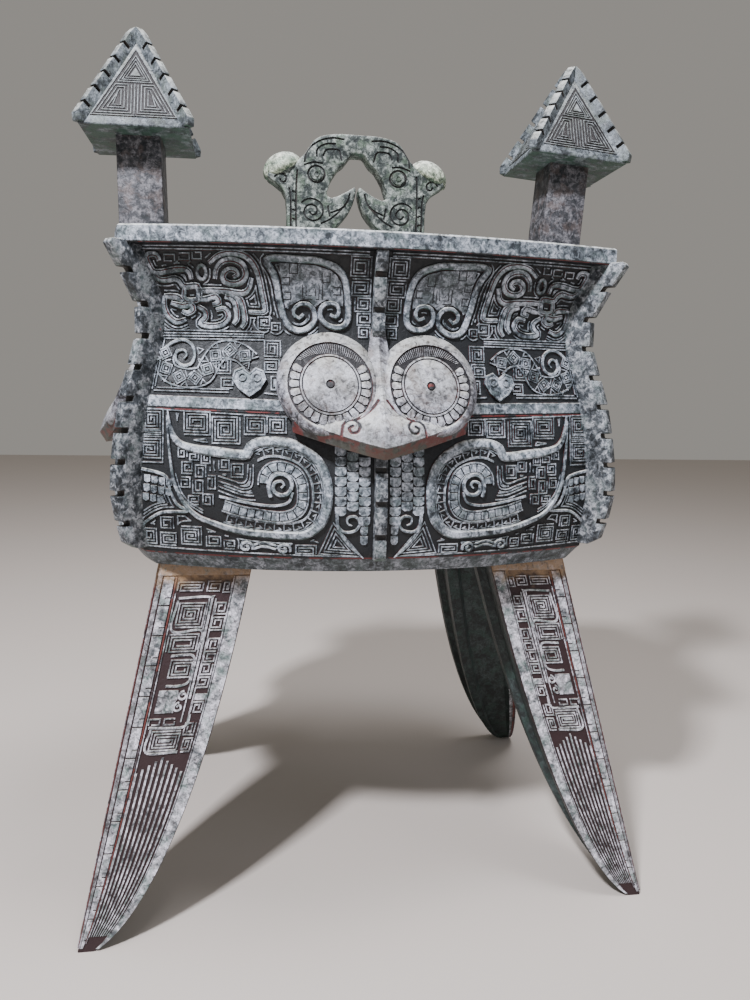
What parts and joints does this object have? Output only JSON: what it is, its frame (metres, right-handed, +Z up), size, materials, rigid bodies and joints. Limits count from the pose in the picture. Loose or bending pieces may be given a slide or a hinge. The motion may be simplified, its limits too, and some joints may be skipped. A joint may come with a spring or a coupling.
{
  "type": "bronze fangjia wine vessel",
  "caption": "Rectangular bronze wine vessel on splayed legs, with owl faces in relief, notched flanges, capped posts on the rim and a loose lid with a bird knob",
  "frame": {"origin": "on the floor, under the middle of the vessel's overall box", "axes": "+X is to the right as the front owl face is looked at, -Y is the front, +Z is up"},
  "size_m": [0.4417, 0.3432, 0.6671],
  "materials": {
    "bronze_body": "cast bronze under a grey-green, blackish and red-brown burial patina, matt",
    "bronze_lid": "cast bronze under a grey-green burial patina, matt"
  },
  "bodies": {
    "root": {"vessel": "bronze_body", "lid": "bronze_lid"}
  },
  "joints": []
}
